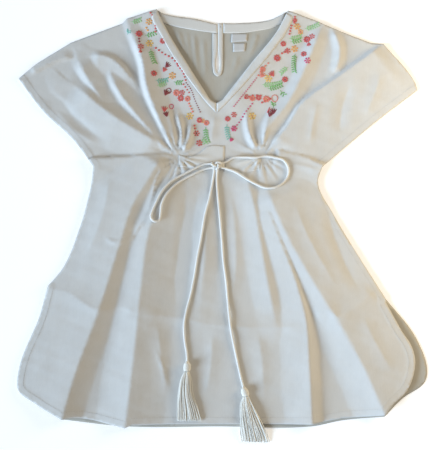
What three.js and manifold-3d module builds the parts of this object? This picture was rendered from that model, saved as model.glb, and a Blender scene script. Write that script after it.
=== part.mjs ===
// A child's cotton kaftan laid flat: front and back with grown-on batwing sleeves, a V neck, and a
// drawstring waist tied in a bow with tasselled ends.
// Millimetres. X runs across, Y from hem to neck, Z up. The origin is under the middle of the garment.
import * as THREE from "three";
import { mergeVertices } from "three/addons/utils/BufferGeometryUtils.js";
import Module from "manifold-3d";

const wasm = await Module();
wasm.setup();

// ---- Driving sizes -------------------------------------------------------------------------------

const HALF_WIDTH = 286; // sleeve tip to centre
const HALF_LENGTH = 296; // neck point or hem to centre
const CLOTH = 1.2; // wall of the front and of the back
const TRIM = 1.0; // wall of the bands, bindings, casing and labels
const GAP = 0.3; // air between pieces that are sewn together
const CELL = 15; // spacing of the points of a draped wall
const NECK_BAND = 11; // width of the plain band beside the V
const CORD = 3.6; // diameter of the drawstring
const CORD_SIDES = 8;
const CREASE_STEP = 3; // half the width of the step where one zone of cloth lies over the next
const BACK_TOP = CLOTH;
const FRONT_UNDER = BACK_TOP + GAP;
const FRONT_TOP = FRONT_UNDER + CLOTH;

const table = (columns, rows) =>
  rows.map((row) => Object.fromEntries(columns.split(" ").map((name, i) => [name, row[i]])));

// ---- Outlines ------------------------------------------------------------------------------------
// Each run of an edge goes through its points, as a smooth bend or as straight cuts.

const LEFT_SHOULDER = { bend: false, through: [[-89, 296], [-132, 282], [-139, 275], [-213, 246]] };
const LEFT_SLEEVE_TOP = { bend: true, through: [[-213, 246], [-264, 212], [-HALF_WIDTH, 193]] };
const LEFT_SLEEVE_HEM = { bend: true, through: [[-HALF_WIDTH, 193], [-250, 146], [-205, 103], [-176, 64]] };
const LEFT_SIDE = { bend: true, through: [[-176, 64], [-179, 38], [-193, -20], [-215, -77], [-237, -105]] };
const LEFT_CORNER = {
  bend: true,
  through: [[-237, -105], [-247, -146], [-272, -213], [-273, -245], [-248, -264], [-211, -285]],
};
const FRONT_HEM = {
  bend: true,
  through: [[-211, -285], [-201, -283], [-179, -284], [-143, -292], [-126, -HALF_LENGTH]],
};
const FRONT_HEM_MIDDLE = {
  bend: false,
  through: [[-126, -HALF_LENGTH], [-118, -292], [-60, -291], [127, -291], [168, -283], [224, -279]],
};
const FRONT_CORNER = {
  bend: true,
  through: [[224, -279], [236, -265], [257, -245], [269, -209], [265, -187], [251, -164], [230, -124]],
};
const BACK_HEM = {
  bend: true,
  through: [[-211, -285], [-126, -294], [0, -294], [127, -294], [168, -286], [226, -281]],
};
const BACK_CORNER = {
  bend: true,
  through: [[226, -281], [252, -256], [281, -236], [HALF_WIDTH, -220], [272, -175], [230, -119]],
};
const RIGHT_SIDE = { bend: true, through: [[230, -119], [186, -47], [161, -3], [140, 41], [146, 64]] };
const RIGHT_SLEEVE_HEM = { bend: true, through: [[146, 64], [177, 91], [230, 135], [284, 176]] };
const RIGHT_SLEEVE_TOP = { bend: true, through: [[284, 176], [280, 189], [237, 244]] };
const RIGHT_SHOULDER = {
  bend: false,
  through: [[237, 244], [219, 246], [189, 258], [151, 274], [139, 280], [100, 294]],
};
const V_RIGHT = { bend: true, through: [[100, 294], [83, 261], [48, 217], [6, 162]] };
const V_POINT = { bend: true, through: [[6, 162], [-3, 157], [-12, 162]] };
const V_LEFT = { bend: true, through: [[-12, 162], [-45, 215], [-69, 255], [-89, 296]] };
const BACK_NECK_RIGHT = { bend: true, through: [[100, 294], [74, 281], [30, 276], [-0.7, 276]] };
const BACK_NECK_LEFT = { bend: true, through: [[-1.3, 274.5], [-31, 282], [-77, 290], [-89, 296]] };
const SLIT = {
  bend: true,
  through: [[-0.7, 276], [-0.7, 236], [1.4, 212], [-1, 202], [-3.4, 212], [-1.3, 236], [-1.3, 274.5]],
};

const FRONT_OUTLINE = [
  LEFT_SHOULDER, LEFT_SLEEVE_TOP, LEFT_SLEEVE_HEM, LEFT_SIDE, LEFT_CORNER, FRONT_HEM, FRONT_HEM_MIDDLE,
  FRONT_CORNER, RIGHT_SIDE, RIGHT_SLEEVE_HEM, RIGHT_SLEEVE_TOP, RIGHT_SHOULDER, V_RIGHT, V_POINT, V_LEFT,
];
const BACK_OUTLINE = [
  LEFT_SHOULDER, LEFT_SLEEVE_TOP, LEFT_SLEEVE_HEM, LEFT_SIDE, LEFT_CORNER, BACK_HEM, BACK_CORNER,
  RIGHT_SIDE, RIGHT_SLEEVE_HEM, RIGHT_SLEEVE_TOP, RIGHT_SHOULDER, BACK_NECK_RIGHT, SLIT, BACK_NECK_LEFT,
];

// ---- Folds ---------------------------------------------------------------------------------------
// A fold rises to "high" above the flat cloth along its line and slopes away over "left" and "right",
// the two sides seen by someone walking along the line. "starts" and "ends" are the shares of its length
// over which it grows and dies away.

const SKIRT_FOLDS = table("name high left right starts ends along", [
  ["left_panel_crest", 11, 26, 84, 0.05, 0,
    [[-77, 82], [-100, 42], [-118, 11], [-136, -45], [-164, -138], [-195, -226], [-211, -285]]],
  ["left_inner_ledge", 8, 5, 30, 0.1, 0.4, [[-72, 74], [-84, 51], [-100, -6], [-116, -32], [-134, -70]]],
  ["left_centre_crest", 10, 50, 42, 0.15, 0,
    [[-57, 60], [-94, -19], [-107, -109], [-114, -187], [-126, -296]]],
  ["centre_ridge_left", 4, 22, 20, 0.3, 0.4, [[-14, 50], [-16, -6], [-20, -70], [-26, -140]]],
  ["centre_ridge_right", 6, 22, 26, 0.2, 0.2, [[36, 60], [50, 8], [60, -52], [72, -120], [80, -158]]],
  ["right_centre_crest", 9, 16, 40, 0.1, 0,
    [[61, 24], [87, -44], [106, -95], [120, -150], [124, -216], [127, -291]]],
  ["right_panel_crest", 11, 92, 40, 0.08, 0,
    [[64, 40], [87, -16], [106, -55], [141, -116], [168, -160], [198, -216], [225, -279]]],
  ["left_top_edge", 4, 3, 70, 0, 0.1, [[-178, 77], [-126, 80], [-77, 83]]],
  ["right_top_edge", 4, 3, 60, 0.1, 0, [[80, 90], [98, 85], [128, 78], [147, 67]]],
]);

const BODICE_FOLDS = table("name high left right starts ends along", [
  ["left_sleeve_crest", 9, 26, 46, 0.2, 0.15, [[-207, 184], [-148, 136], [-91, 101], [-76, 90]]],
  ["left_sleeve_fold", 6, 30, 12, 0.2, 0.3, [[-202, 222], [-187, 193], [-160, 154], [-144, 135]]],
  ["left_armhole_fold", 7, 28, 12, 0.25, 0.15,
    [[-158, 213], [-149, 187], [-136, 164], [-98, 117], [-73, 84]]],
  ["left_pouch_fold", 5, 9, 34, 0.15, 0.4, [[-185, 227], [-158, 224], [-126, 196], [-112, 172]]],
  ["left_yoke_crest", 8, 26, 9, 0.3, 0.1,
    [[-132, 278], [-109, 218], [-102, 179], [-84, 132], [-63, 88]]],
  ["left_sleeve_strip", 3, 14, 4, 0.1, 0.2, [[-268, 201], [-225, 222], [-207, 224]]],
  ["left_gather_outer", 5, 7, 8, 0.3, 0.1, [[-59, 145], [-52, 116], [-50, 90]]],
  ["left_gather_inner", 5, 7, 8, 0.3, 0.1, [[-37, 128], [-43, 103], [-49, 88]]],
  ["right_sleeve_fold", 7, 92, 5, 0.1, 0.1,
    [[237, 244], [211, 224], [163, 189], [116, 153], [98, 124], [71, 90]]],
  ["right_shoulder_fold", 5, 11, 11, 0.2, 0.2, [[163, 267], [173, 241], [171, 215], [163, 199]]],
  ["right_yoke_crest", 7, 18, 14, 0.15, 0.2,
    [[150, 273], [137, 241], [118, 195], [97, 154], [70, 120], [58, 90]]],
  ["right_gather_inner", 5, 8, 8, 0.4, 0.1, [[40, 150], [42, 120], [52, 90]]],
  ["left_neck_roll", 3.4, 34, 34, 0, 0.2, [[-104, 300], [-72, 240], [-34, 180], [-14, 140]]],
  ["right_neck_roll", 3.4, 34, 34, 0, 0.2, [[114, 300], [72, 228], [30, 175], [6, 140]]],
]);

// The line along which the skirt lies over the bodice, from side seam to side seam.
const WAIST_LINE = [[-186, 77], [-126, 80], [-77, 83], [-58, 78], [58, 82], [80, 90], [98, 85], [128, 78], [150, 66]];

// ---- The draped surface --------------------------------------------------------------------------

// The nearest point of a line to x, y: how far away, on which side, and how far along it.
function nearestOn(line, x, y) {
  const lengths = line.slice(1).map(([bx, by], i) => Math.hypot(bx - line[i][0], by - line[i][1]));
  const whole = lengths.reduce((sum, length) => sum + length, 0);
  let best = { away: Infinity };
  let before = 0;
  lengths.forEach((length, i) => {
    const [ax, ay] = line[i];
    const [bx, by] = line[i + 1];
    const share = ((x - ax) * (bx - ax) + (y - ay) * (by - ay)) / length ** 2;
    const on = THREE.MathUtils.clamp(share, 0, 1);
    const away = Math.hypot(x - ax - on * (bx - ax), y - ay - on * (by - ay));
    if (away < best.away) {
      const onLeft = (bx - ax) * (y - ay) - (by - ay) * (x - ax) > 0;
      best = { away, onLeft, along: (before + on * length) / whole };
    }
    before += length;
  });
  return best;
}

function foldHeight(fold, x, y) {
  const { away, onLeft, along } = nearestOn(fold.along, x, y);
  const slope = Math.max(0, 1 - away / (onLeft ? fold.left : fold.right));
  const grown = fold.starts ? THREE.MathUtils.smoothstep(along, 0, fold.starts) : 1;
  const left = fold.ends ? THREE.MathUtils.smoothstep(1 - along, 0, fold.ends) : 1;
  return fold.high * slope * (0.25 + 0.75 * grown) * (0.25 + 0.75 * left);
}

const highest = (folds, x, y) => Math.max(...folds.map((fold) => foldHeight(fold, x, y)));

// How far the front's cloth is lifted off the back at x, y.
function lifted(x, y) {
  const { away, onLeft } = nearestOn(WAIST_LINE, x, y);
  const above = THREE.MathUtils.smoothstep(onLeft ? away : -away, -CREASE_STEP, CREASE_STEP);
  return THREE.MathUtils.lerp(highest(SKIRT_FOLDS, x, y), highest(BODICE_FOLDS, x, y), above);
}

const COLUMNS = 2 * Math.ceil(HALF_WIDTH / CELL) + 2;
const ROWS = 2 * Math.ceil(HALF_LENGTH / CELL) + 2;
const columnX = (i) => (i - COLUMNS / 2) * CELL;
const rowY = (j) => (j - ROWS / 2) * CELL;
const LIFTS = Array.from({ length: (COLUMNS + 1) * (ROWS + 1) }, (_, k) =>
  lifted(columnX(k % (COLUMNS + 1)), rowY(Math.floor(k / (COLUMNS + 1)))));

// The lift of the faceted wall itself: each cell is two flat triangles, split from low corner to high corner.
function facetLift(x, y) {
  const column = THREE.MathUtils.clamp(x / CELL + COLUMNS / 2, 0, COLUMNS - 1e-6);
  const row = THREE.MathUtils.clamp(y / CELL + ROWS / 2, 0, ROWS - 1e-6);
  const [i, j] = [Math.floor(column), Math.floor(row)];
  const [u, v] = [column - i, row - j];
  const at = (di, dj) => LIFTS[(j + dj) * (COLUMNS + 1) + i + di];
  return u > v
    ? at(0, 0) * (1 - u) + at(1, 0) * (u - v) + at(1, 1) * v
    : at(0, 0) * (1 - v) + at(0, 1) * (v - u) + at(1, 1) * u;
}

// ---- Solids --------------------------------------------------------------------------------------

function toSolid(geometry) {
  const bare = new THREE.BufferGeometry();
  bare.setAttribute("position", geometry.getAttribute("position"));
  bare.setIndex(geometry.getIndex());
  const merged = mergeVertices(bare, 1e-3);
  return new wasm.Manifold(
    new wasm.Mesh({
      numProp: 3,
      vertProperties: new Float32Array(merged.getAttribute("position").array),
      triVerts: new Uint32Array(merged.getIndex().array),
    }),
  );
}

function toGeometry(solid) {
  const { vertProperties, triVerts } = solid.getMesh();
  const geometry = new THREE.BufferGeometry();
  geometry.setAttribute("position", new THREE.BufferAttribute(vertProperties, 3));
  geometry.setIndex(new THREE.BufferAttribute(triVerts, 1));
  geometry.computeVertexNormals();
  return geometry;
}

// The closed shape that a list of edge runs draws.
function outlineShape(runs, step = 14) {
  const corners = runs.flatMap(({ bend, through }) => {
    const points = through.map(([x, y]) => new THREE.Vector3(x, y, 0));
    if (!bend) return points.slice(0, -1);
    const curve = new THREE.CatmullRomCurve3(points, false, "centripetal");
    const pieces = Math.max(points.length - 1, Math.round(curve.getLength() / step));
    return curve.getSpacedPoints(pieces).slice(0, -1);
  });
  return new THREE.Shape(corners.map(({ x, y }) => new THREE.Vector2(x, y)));
}

function prism(shape, low, high) {
  const geometry = new THREE.ExtrudeGeometry(shape, { depth: high - low, bevelEnabled: false });
  return geometry.translate(0, 0, low);
}

// Rings of the same number of points joined one to the next and closed at both ends.
function loft(rings) {
  const sides = rings[0].length;
  const positions = rings.flat().flatMap(({ x, y, z }) => [x, y, z]);
  const faces = [];
  for (let r = 0; r + 1 < rings.length; r++) {
    for (let s = 0; s < sides; s++) {
      const [a, b] = [r * sides + s, r * sides + ((s + 1) % sides)];
      faces.push(a, b, b + sides, a, b + sides, a + sides);
    }
  }
  const last = (rings.length - 1) * sides;
  for (let s = 1; s + 1 < sides; s++) {
    faces.push(0, s + 1, s, last, last + s, last + s + 1);
  }
  const geometry = new THREE.BufferGeometry();
  geometry.setAttribute("position", new THREE.Float32BufferAttribute(positions, 3));
  geometry.setIndex(faces);
  return geometry;
}

// A wall of the draped surface over the whole garment, from "low" to "high" above the lift of the cloth.
function drapedWall(low, high) {
  const across = COLUMNS + 1;
  const count = across * (ROWS + 1);
  const positions = [low, high].flatMap((level) =>
    LIFTS.flatMap((lift, k) => [columnX(k % across), rowY(Math.floor(k / across)), lift + level]));
  const faces = [];
  for (let j = 0; j < ROWS; j++) {
    for (let i = 0; i < COLUMNS; i++) {
      const a = j * across + i;
      const [b, c, d] = [a + 1, a + across + 1, a + across];
      faces.push(a, c, b, a, d, c);
      faces.push(count + a, count + b, count + c, count + a, count + c, count + d);
    }
  }
  const rim = [
    ...Array.from({ length: COLUMNS }, (_, i) => i),
    ...Array.from({ length: ROWS }, (_, j) => j * across + COLUMNS),
    ...Array.from({ length: COLUMNS }, (_, i) => ROWS * across + COLUMNS - i),
    ...Array.from({ length: ROWS }, (_, j) => (ROWS - j) * across),
  ];
  rim.forEach((a, k) => {
    const b = rim[(k + 1) % rim.length];
    faces.push(a, b, count + b, a, count + b, count + a);
  });
  const geometry = new THREE.BufferGeometry();
  geometry.setAttribute("position", new THREE.Float32BufferAttribute(positions, 3));
  geometry.setIndex(faces);
  return geometry;
}

const TALL = 60; // above anything that the garment reaches
const frontWall = toSolid(drapedWall(FRONT_UNDER, FRONT_TOP));
const trimWall = toSolid(drapedWall(FRONT_TOP + GAP, FRONT_TOP + GAP + TRIM));
const cutTo = (wall, shape) => toGeometry(wall.intersect(toSolid(prism(shape, -1, TALL))));

// ---- Materials -----------------------------------------------------------------------------------

const finish = (color, roughness) => () => new THREE.MeshStandardMaterial({ color, roughness, metalness: 0 });
const cotton = finish(0xeeeae0, 0.92);
const bandCotton = finish(0xf2eee6, 0.9);
const labelTape = finish(0xe4e3de, 0.7);
const cordCotton = finish(0xf6f3ea, 0.88);
const tasselYarn = finish(0xf7f4ea, 0.9);

const kaftan = new THREE.Group();

function addPiece(name, geometry, material) {
  const piece = new THREE.Mesh(geometry, material());
  piece.name = name;
  kaftan.add(piece);
}

// ---- Panels and their trims ----------------------------------------------------------------------

addPiece("back", prism(outlineShape(BACK_OUTLINE), 0, BACK_TOP), cotton);
addPiece("front", cutTo(frontWall, outlineShape(FRONT_OUTLINE)), cotton);

// The plain bands that finish the V: each follows its edge and meets the other under the point.
const BAND_RIGHT = [
  { bend: true, through: [[-2.6, 157], [6, 162], [48, 217], [83, 261], [98, 290]] },
  { bend: true, through: [[98, 290], [98 + 0.7 * NECK_BAND, 284], [83 + NECK_BAND, 255]] },
  { bend: true, through: [[83 + NECK_BAND, 255], [48 + NECK_BAND, 210], [11, 156], [-2.6, 143]] },
];
const BAND_LEFT = [
  { bend: true, through: [[-3.2, 143], [-16, 156], [-45 - NECK_BAND, 211], [-69 - NECK_BAND, 251]] },
  { bend: true, through: [[-69 - NECK_BAND, 251], [-88 - 0.7 * NECK_BAND, 288], [-89, 292]] },
  { bend: true, through: [[-89, 292], [-69, 255], [-45, 215], [-12, 162], [-3.2, 157]] },
];
addPiece("neck_band_right", cutTo(trimWall, outlineShape(BAND_RIGHT)), bandCotton);
addPiece("neck_band_left", cutTo(trimWall, outlineShape(BAND_LEFT)), bandCotton);

// The casing of the drawstring: two strips that meet at the centre, where the cord comes out.
const CASING_LEFT = [
  { bend: false, through: [[-56, 64], [8.6, 60], [8.6, 95]] },
  { bend: true, through: [[8.6, 95], [-14, 95], [-29, 84], [-42, 79], [-56, 82]] },
  { bend: false, through: [[-56, 82], [-56, 64]] },
];
const CASING_RIGHT = [
  { bend: false, through: [[8.9, 59], [36, 56], [58, 60], [60, 76]] },
  { bend: true, through: [[60, 76], [36, 80], [8.9, 76]] },
  { bend: false, through: [[8.9, 76], [8.9, 59]] },
];
addPiece("casing_left", cutTo(trimWall, outlineShape(CASING_LEFT)), bandCotton);
addPiece("casing_right", cutTo(trimWall, outlineShape(CASING_RIGHT)), bandCotton);

// What is sewn on the inside of the back and shows in the neck.
const BINDING_LEFT = [
  { bend: true, through: [[-1.3, 274], [-31, 281.5], [-77, 289.5], [-86, 294]] },
  { bend: false, through: [[-86, 294], [-83, 277]] },
  { bend: true, through: [[-83, 277], [-63, 271], [-38, 266], [-1.3, 260.6]] },
  { bend: false, through: [[-1.3, 260.6], [-1.3, 274]] },
];
const BINDING_RIGHT = [
  { bend: true, through: [[97, 292], [74, 280.5], [30, 275.5], [6.9, 275.5]] },
  { bend: false, through: [[6.9, 275.5], [6.9, 261]] },
  { bend: true, through: [[6.9, 261], [31, 261], [54, 264], [78, 269], [92, 276]] },
  { bend: false, through: [[92, 276], [97, 292]] },
];
const SLIT_BINDING = [
  { bend: true, through: [[-1.3, 260.2], [-1.3, 236], [-3.4, 212], [-1, 202], [1.4, 212], [-0.7, 236]] },
  { bend: false, through: [[-0.7, 236], [-0.7, 275.5], [6.5, 275.5], [6.5, 212]] },
  { bend: true, through: [[6.5, 212], [4, 200], [-1, 196.5], [-6, 200], [-8.5, 212]] },
  { bend: false, through: [[-8.5, 212], [-8.5, 261], [-1.3, 260.2]] },
];
const LABEL = [{ bend: false, through: [[18, 247], [41, 249], [42, 260], [19, 260], [18, 247]] }];
const SMALL_LABEL = [{ bend: false, through: [[21, 233], [38, 234], [39, 246], [21, 246], [21, 233]] }];
const onBack = (runs) => prism(outlineShape(runs, 10), BACK_TOP + GAP, BACK_TOP + GAP + TRIM);
addPiece("back_binding_left", onBack(BINDING_LEFT), bandCotton);
addPiece("back_binding_right", onBack(BINDING_RIGHT), bandCotton);
addPiece("slit_binding", onBack(SLIT_BINDING), bandCotton);
addPiece("neck_label", onBack(LABEL), labelTape);
addPiece("small_label", onBack(SMALL_LABEL), labelTape);

// ---- Drawstring ----------------------------------------------------------------------------------

const CASING_BOX = { x: 74, low: 48, high: 108 }; // where the cord lies on the casing too

// The height of whatever cloth lies within reach of x, y.
function clothUnder(x, y, reach) {
  const turns = [0, 1, 2, 3, 4, 5, 6, 7].map((k) => (k * Math.PI) / 4);
  const around = turns.flatMap((turn) => [0.5, 1].map((far) =>
    facetLift(x + far * reach * Math.cos(turn), y + far * reach * Math.sin(turn))));
  const onCasing = Math.abs(x) < CASING_BOX.x && y > CASING_BOX.low && y < CASING_BOX.high;
  return FRONT_TOP + Math.max(facetLift(x, y), ...around) + (onCasing ? GAP + TRIM : 0);
}

const KNOT = { x: -3, y: 66, wide: 9, long: 8, tall: 4.6 };
KNOT.z = clothUnder(KNOT.x, KNOT.y, KNOT.wide) + KNOT.tall + GAP;

function knotSolid(grown) {
  const ball = new THREE.SphereGeometry(1, 14, 10);
  ball.scale(KNOT.wide + grown, KNOT.long + grown, KNOT.tall + grown);
  return toSolid(ball.translate(KNOT.x, KNOT.y, KNOT.z));
}

// Each stretch of cord starts in the knot. Its route is x, y; the cord lies on the cloth below it.
const CORD_ROUTES = table("name steps route", [
  ["cord_right_loop", 26, [
    [-1, 68], [9, 70.5], [21, 77], [36, 77.5], [52, 76.5], [64, 79], [78, 77], [91, 73], [98, 62], [97, 50],
    [90, 40.5], [78, 34], [66, 33.5], [52, 39.5], [38, 47.5], [24, 56.5], [11, 61.5], [1, 63.5]]],
  ["cord_left_loop", 26, [
    [-6, 68.5], [-20, 67.5], [-36, 60], [-50, 52.5], [-61, 46.5], [-71, 38], [-79, 27.5], [-86, 13], [-92, -1],
    [-93.5, -9], [-89, -14.5], [-82.5, -12.5], [-80.5, -4], [-79, 9], [-73.5, 22], [-65.5, 32.5], [-57, 40.5],
    [-46, 47.5], [-33, 54.5], [-20, 60.5], [-6, 63]]],
  ["cord_left_end", 13, [
    [-5.6, 63], [-7.4, 48], [-13, 18], [-19, -6], [-24, -37], [-29, -63], [-33, -89], [-39, -119], [-44, -138],
    [-47, -158], [-46, -178], [-43, -197], [-42.5, -206.6]]],
  ["cord_right_end", 15, [
    [-1, 63], [-2.4, 48], [-1, 24], [2, -7], [5, -41], [7, -68], [11, -99], [13, -123], [17, -161], [24, -197],
    [31, -229], [34, -240.9]]],
]);

function cordSolid({ route, steps }) {
  const points = route.map(([x, y]) => {
    const near = Math.hypot(x - KNOT.x, y - KNOT.y) < KNOT.wide;
    return new THREE.Vector3(x, y, near ? KNOT.z : clothUnder(x, y, CORD) + CORD / 2 + GAP);
  });
  const round = new THREE.Shape();
  for (let s = 0; s < CORD_SIDES; s++) {
    const turn = (2 * Math.PI * s) / CORD_SIDES;
    const [u, v] = [(CORD / 2) * Math.cos(turn), (CORD / 2) * Math.sin(turn)];
    if (s) round.lineTo(u, v);
    else round.moveTo(u, v);
  }
  const extrudePath = new THREE.CatmullRomCurve3(points, false, "centripetal");
  return toSolid(new THREE.ExtrudeGeometry(round, { steps, extrudePath, bevelEnabled: false }));
}

addPiece("bow_knot", toGeometry(knotSolid(0)), cordCotton);
for (const row of CORD_ROUTES) {
  addPiece(row.name, toGeometry(cordSolid(row).subtract(knotSolid(GAP))), cordCotton);
}

// ---- Tassels -------------------------------------------------------------------------------------
// Sections down each tassel: middle x, y, half width, thickness, and how far under the cloth's top the
// underside lies where the strands hang past the hem.

const HEAD_ROWS = "x y half thick drop";
const TASSELS = table("side head skirt", [
  ["left",
    table(HEAD_ROWS, [[-42.5, -207, 3, 5, 0], [-42.5, -211, 5.4, 8, 0], [-42.6, -216, 5.6, 8, 0], [-43, -220, 4.4, 7, 0]]),
    table(HEAD_ROWS, [[-43.2, -220.4, 4.2, 6.5, 0], [-44, -230, 8, 8, 0], [-45, -248, 10.5, 7.5, 0],
      [-42, -270, 16, 6, 0], [-40, -288, 19, 4, 0]])],
  ["right",
    table(HEAD_ROWS, [[34.6, -242, 3, 5, 0], [35.6, -246, 5.6, 8, 0], [36.6, -250, 5.8, 8, 0], [37.2, -253, 4.8, 7, 0]]),
    table(HEAD_ROWS, [[37.4, -253.4, 4.6, 6.5, 0], [38.5, -264, 9, 8, 0], [42, -278, 14, 7.5, 0],
      [46, -293, 18, 6, 0], [49, -304, 20, 5, 2.6], [51, -316, 21, 4, 4.6]])],
]);

const SECTION_SIDES = 10;

function tasselLoft(rows) {
  const rings = rows.map(({ x, y, half, thick, drop }) => {
    const under = clothUnder(x, y, half) + GAP - drop;
    return Array.from({ length: SECTION_SIDES }, (_, s) => {
      const turn = (2 * Math.PI * s) / SECTION_SIDES;
      const z = Math.max(GAP, under) + (thick / 2) * (1 + Math.sin(turn));
      return new THREE.Vector3(x + half * Math.cos(turn), y, z);
    });
  });
  return loft(rings);
}

for (const { side, head, skirt } of TASSELS) {
  addPiece(`tassel_head_${side}`, tasselLoft(head), tasselYarn);
  addPiece(`tassel_skirt_${side}`, tasselLoft(skirt), tasselYarn);
}

export default kaftan;
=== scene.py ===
# A child's cotton kaftan laid flat: its cloth, bands, embroidery, drawstring and tassels.
# Blender works in metres; the tables below are a pattern sheet in millimetres, turned to metres by MM.
import math
import random

import bpy
import numpy as np
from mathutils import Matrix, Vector
from mathutils.geometry import delaunay_2d_cdt


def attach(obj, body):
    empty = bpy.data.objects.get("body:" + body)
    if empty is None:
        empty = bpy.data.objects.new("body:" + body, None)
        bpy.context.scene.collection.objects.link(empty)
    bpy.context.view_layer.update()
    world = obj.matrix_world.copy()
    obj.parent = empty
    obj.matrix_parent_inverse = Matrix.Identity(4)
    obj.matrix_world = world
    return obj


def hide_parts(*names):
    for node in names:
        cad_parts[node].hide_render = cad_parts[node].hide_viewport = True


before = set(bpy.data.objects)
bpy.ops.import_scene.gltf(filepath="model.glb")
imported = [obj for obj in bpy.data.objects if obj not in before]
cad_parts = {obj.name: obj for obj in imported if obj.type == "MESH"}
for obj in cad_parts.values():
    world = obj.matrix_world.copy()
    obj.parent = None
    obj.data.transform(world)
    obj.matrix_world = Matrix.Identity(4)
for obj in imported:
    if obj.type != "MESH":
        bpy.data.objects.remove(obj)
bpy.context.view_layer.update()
rng = random.Random(7)

MM = 0.001
BACK_TOP = 0.7  # the back lies from 0 to here
FRONT_UNDER = 1.5
CLOTH = 0.7
TRIM = 0.6
TRIM_RIM = 0.15  # thickness of a trim at its very edge
SEAM_GAP = 0.25
CORD = 3.6
MESH_STEP = 2.6  # spacing of the points of a panel
HEM_WIDTH = 10

# ---- Camera, floor and light ---------------------------------------------------------------------

CAMERA_AIM = (0.0022, -0.0178, 0)
CAMERA_FAR = 1.3
CAMERA_TILT = math.radians(8)  # from straight down, towards the hem
CAMERA_LENS = 74.3
FLOOR_GAP = 0.0004  # the floor lies this far under the cloth


def add_camera():
    data = bpy.data.cameras.new("camera")
    data.lens = CAMERA_LENS
    camera = bpy.data.objects.new("camera", data)
    away = Vector((0, -math.sin(CAMERA_TILT), math.cos(CAMERA_TILT)))
    camera.location = Vector(CAMERA_AIM) + away * CAMERA_FAR
    camera.rotation_euler = (CAMERA_TILT, 0, 0)
    bpy.context.scene.collection.objects.link(camera)
    bpy.context.scene.camera = camera


def add_sun(name, azimuth, height, strength, softness, color):
    """A broad light from a compass azimuth (0 is +X, 90 is +Y) and a height above the floor, in degrees."""
    data = bpy.data.lights.new(name, "SUN")
    data.energy = strength
    data.angle = math.radians(softness)
    data.color = color
    sun = bpy.data.objects.new(name, data)
    a, h = math.radians(azimuth), math.radians(height)
    toward = Vector((math.cos(a) * math.cos(h), math.sin(a) * math.cos(h), math.sin(h)))
    sun.rotation_euler = toward.to_track_quat("Z", "Y").to_euler()
    bpy.context.scene.collection.objects.link(sun)


def add_lamp(name, place, aim, size, power, color):
    """A soft square lamp close to the cloth, so that it fades across it."""
    data = bpy.data.lights.new(name, "AREA")
    data.energy = power
    data.size = size
    data.color = color
    lamp = bpy.data.objects.new(name, data)
    lamp.location = place
    lamp.rotation_euler = (Vector(place) - Vector(aim)).to_track_quat("Z", "Y").to_euler()
    bpy.context.scene.collection.objects.link(lamp)


def add_floor():
    half = 3.0
    mesh = bpy.data.meshes.new("floor")
    corners = [(-half, -half, 0), (half, -half, 0), (half, half, 0), (-half, half, 0)]
    mesh.from_pydata(corners, [], [(0, 1, 2, 3)])
    floor = bpy.data.objects.new("floor", mesh)
    floor.location.z = -FLOOR_GAP
    bpy.context.scene.collection.objects.link(floor)
    paper = bpy.data.materials.new("studio_floor")
    paper.use_nodes = True
    shader = paper.node_tree.nodes["Principled BSDF"]
    shader.inputs["Base Color"].default_value = (0.95, 0.95, 0.95, 1)
    shader.inputs["Roughness"].default_value = 0.9
    shader.inputs["Emission Color"].default_value = (1, 1, 1, 1)
    shader.inputs["Emission Strength"].default_value = 0.30
    mesh.materials.append(paper)


add_camera()
add_floor()
add_sun("window", 204, 19, 4.9, 26, (0.60, 0.79, 1.0))
add_lamp("warm_lamp", (0.66, 0.12, 0.27), (0.12, 0, 0), 0.34, 3.2, (1.0, 0.80, 0.50))
world = bpy.data.worlds.new("studio")
bpy.context.scene.world = world
world.use_nodes = True
world.node_tree.nodes["Background"].inputs["Color"].default_value = (1.0, 0.96, 0.88, 1)
world.node_tree.nodes["Background"].inputs["Strength"].default_value = 0.32
bpy.context.scene.view_settings.view_transform = "Standard"

# ---- Pattern sheet: outlines (a run bends smoothly or is cut straight) ----------------------------

LEFT_SHOULDER = (False, [(-89, 296), (-132, 282), (-139, 275), (-213, 246)])
LEFT_SLEEVE_TOP = (True, [(-213, 246), (-264, 212), (-286, 193)])
LEFT_SLEEVE_HEM = (True, [(-286, 193), (-250, 146), (-205, 103), (-176, 64)])
LEFT_SIDE = (True, [(-176, 64), (-179, 38), (-193, -20), (-215, -77), (-237, -105)])
LEFT_CORNER = (True, [(-237, -105), (-247, -146), (-272, -213), (-273, -245), (-248, -264), (-211, -285)])
FRONT_HEM = (True, [(-211, -285), (-201, -283), (-179, -284), (-143, -292), (-126, -296)])
FRONT_HEM_MIDDLE = (False, [(-126, -296), (-118, -292), (-60, -291), (127, -291), (168, -283), (224, -279)])
FRONT_CORNER = (
    True, [(224, -279), (236, -265), (257, -245), (269, -209), (265, -187), (251, -164), (230, -124)],
)
BACK_HEM = (True, [(-211, -285), (-126, -294), (0, -294), (127, -294), (168, -286), (226, -281)])
BACK_CORNER = (True, [(226, -281), (252, -256), (281, -236), (286, -220), (272, -175), (230, -119)])
RIGHT_SIDE = (True, [(230, -119), (186, -47), (161, -3), (140, 41), (146, 64)])
RIGHT_SLEEVE_HEM = (True, [(146, 64), (177, 91), (230, 135), (284, 176)])
RIGHT_SLEEVE_TOP = (True, [(284, 176), (280, 189), (237, 244)])
RIGHT_SHOULDER = (False, [(237, 244), (219, 246), (189, 258), (151, 274), (139, 280), (100, 294)])
V_RIGHT = (True, [(100, 294), (83, 261), (48, 217), (6, 162)])
V_POINT = (True, [(6, 162), (-3, 157), (-12, 162)])
V_LEFT = (True, [(-12, 162), (-45, 215), (-69, 255), (-89, 296)])
BACK_NECK_RIGHT = (True, [(100, 294), (74, 281), (30, 276), (-0.7, 276)])
BACK_NECK_LEFT = (True, [(-1.3, 274.5), (-31, 282), (-77, 290), (-89, 296)])
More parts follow.
